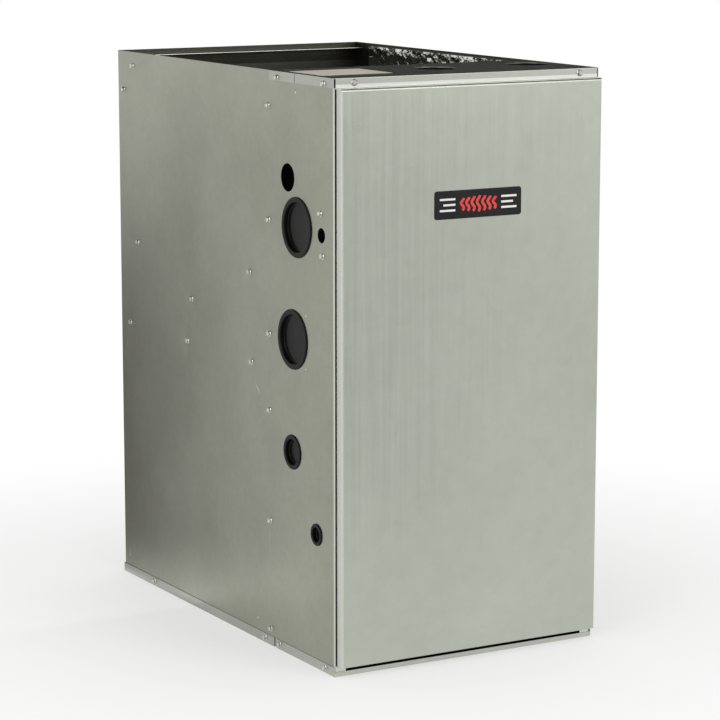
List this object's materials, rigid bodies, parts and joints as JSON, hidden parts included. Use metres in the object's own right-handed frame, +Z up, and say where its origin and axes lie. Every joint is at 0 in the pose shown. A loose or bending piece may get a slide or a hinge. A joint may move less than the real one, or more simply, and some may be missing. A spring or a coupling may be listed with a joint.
{
  "type": "forced air gas furnace",
  "caption": "Upright forced air gas furnace in a sheet steel cabinet with a full-height door, open at its top to the supply duct.",
  "frame": {"origin": "middle of the cabinet's base, on the floor", "axes": "+Z up, -Y out of the front, where the door is, +X to the right of someone facing the door"},
  "size_m": [0.4532, 0.7349, 0.8639],
  "materials": {
    "galvanised_steel": "galvanised sheet, satin",
    "cap_steel": "galvanised sheet, bright",
    "door_steel": "galvanised sheet, bright and smooth",
    "black_plastic": "moulded, satin",
    "screw_zinc": "zinc plated",
    "label_paper": "blank paper label",
    "foil": "foil-faced fibre insulation",
    "gasket_foam": "closed-cell foam",
    "badge_plastic": "gloss black",
    "aluminised_tube": "aluminised steel",
    "fin_aluminium": "thin bare fins",
    "stainless": "stainless",
    "header_plastic": "moulded black polymer",
    "motor_paint": "black enamel",
    "pipe_iron": "black pipe",
    "brass": "turned",
    "valve_casting": "die cast",
    "knob_plastic": "moulded",
    "button_plastic": "moulded",
    "pipe_plastic": "black polymer pipe",
    "ceramic": "unglazed",
    "trap_plastic": "moulded",
    "hose_rubber": "extruded",
    "board": "circuit board",
    "lead_insulation": "sleeved leads"
  },
  "bodies": {
    "cabinet": {"base_front_rail": "cap_steel", "base_rear_rail": "cap_steel", "blank_label": "label_paper", "blower_access_panel": "galvanised_steel", "blower_deck": "galvanised_steel", "blower_housing": "galvanised_steel", "blower_motor": "motor_paint", "bottom_panel": "galvanised_steel", "burner_box": "galvanised_steel", "burners": "aluminised_tube", "cabinet_screws": "screw_zinc", "coil_fins": "fin_aluminium", "coil_tubes": "stainless", "cold_header": "header_plastic", "condensate_trap": "trap_plastic", "control_board": "board", "control_tray": "galvanised_steel", "coupling_box": "stainless", "door_clips": "screw_zinc", "door_gasket": "gasket_foam", "door_switch": "black_plastic", "drain_hose": "hose_rubber", "duct_flange": "cap_steel", "foil_liner": "foil", "gas_manifold": "pipe_iron", "gas_valve_body": "valve_casting", "heat_exchanger_supports": "galvanised_steel", "heat_switches": "black_plastic", "igniter_and_flame_sensor": "ceramic", "inducer_housing": "header_plastic", "inducer_motor": "motor_paint", "intake_and_vent_pipes": "pipe_plastic", "junction_box": "galvanised_steel", "leads": "lead_insulation", "left_hole_plugs": "black_plastic", "left_side_panel": "galvanised_steel", "motor_mount": "galvanised_steel", "orifices": "brass", "pressure_hose": "hose_rubber", "pressure_switch": "header_plastic", "primary_tubes": "aluminised_tube", "rear_panel": "galvanised_steel", "right_hole_plugs": "black_plastic", "right_side_panel": "galvanised_steel", "top_cap": "cap_steel", "top_front_rail": "galvanised_steel", "transformer": "motor_paint", "vestibule_panel": "galvanised_steel"},
    "door": {"door_skin": "door_steel", "door_insulation": "foil", "door_studs": "screw_zinc", "badge_plate": "badge_plastic"},
    "blower_wheel": {"blower_wheel": "aluminised_tube", "blower_shaft": "stainless"},
    "inducer_wheel": {"inducer_wheel": "header_plastic", "inducer_shaft": "stainless"},
    "gas_knob": {"gas_valve_knob": "knob_plastic"},
    "left_button": {"left_reset_button": "button_plastic"},
    "right_button": {"right_reset_button": "button_plastic"},
    "plunger": {"door_switch_plunger": "knob_plastic"}
  },
  "joints": [
    {"name": "door_pull", "type": "slide", "parent": "cabinet", "child": "door", "axis": [0, -1, 0], "range_m": [0, 0.3]},
    {"name": "blower_spin", "type": "hinge", "parent": "cabinet", "child": "blower_wheel", "pos_m": [0, 0.0978, 0.2], "axis": [1, 0, 0], "continuous": true},
    {"name": "inducer_spin", "type": "hinge", "parent": "cabinet", "child": "inducer_wheel", "pos_m": [0.088, -0.2652, 0.545], "axis": [0, 1, 0], "continuous": true},
    {"name": "gas_knob_turn", "type": "hinge", "parent": "cabinet", "child": "gas_knob", "pos_m": [-0.162, -0.3262, 0.758], "axis": [0, 1, 0], "range_deg": [0, 90]},
    {"name": "left_reset_press", "type": "slide", "parent": "cabinet", "child": "left_button", "axis": [0, 0, -1], "range_m": [0, 0.0015], "stiffness_N_per_m": 400, "springref_m": -0.001},
    {"name": "right_reset_press", "type": "slide", "parent": "cabinet", "child": "right_button", "axis": [0, 0, -1], "range_m": [0, 0.0015], "stiffness_N_per_m": 400, "springref_m": -0.001},
    {"name": "plunger_out", "type": "slide", "parent": "cabinet", "child": "plunger", "axis": [0, -1, 0], "range_m": [0, 0.003]}
  ],
  "couplings": [
    {"joint": "plunger_out", "follows": "door_pull", "ratio": 0.01}
  ]
}
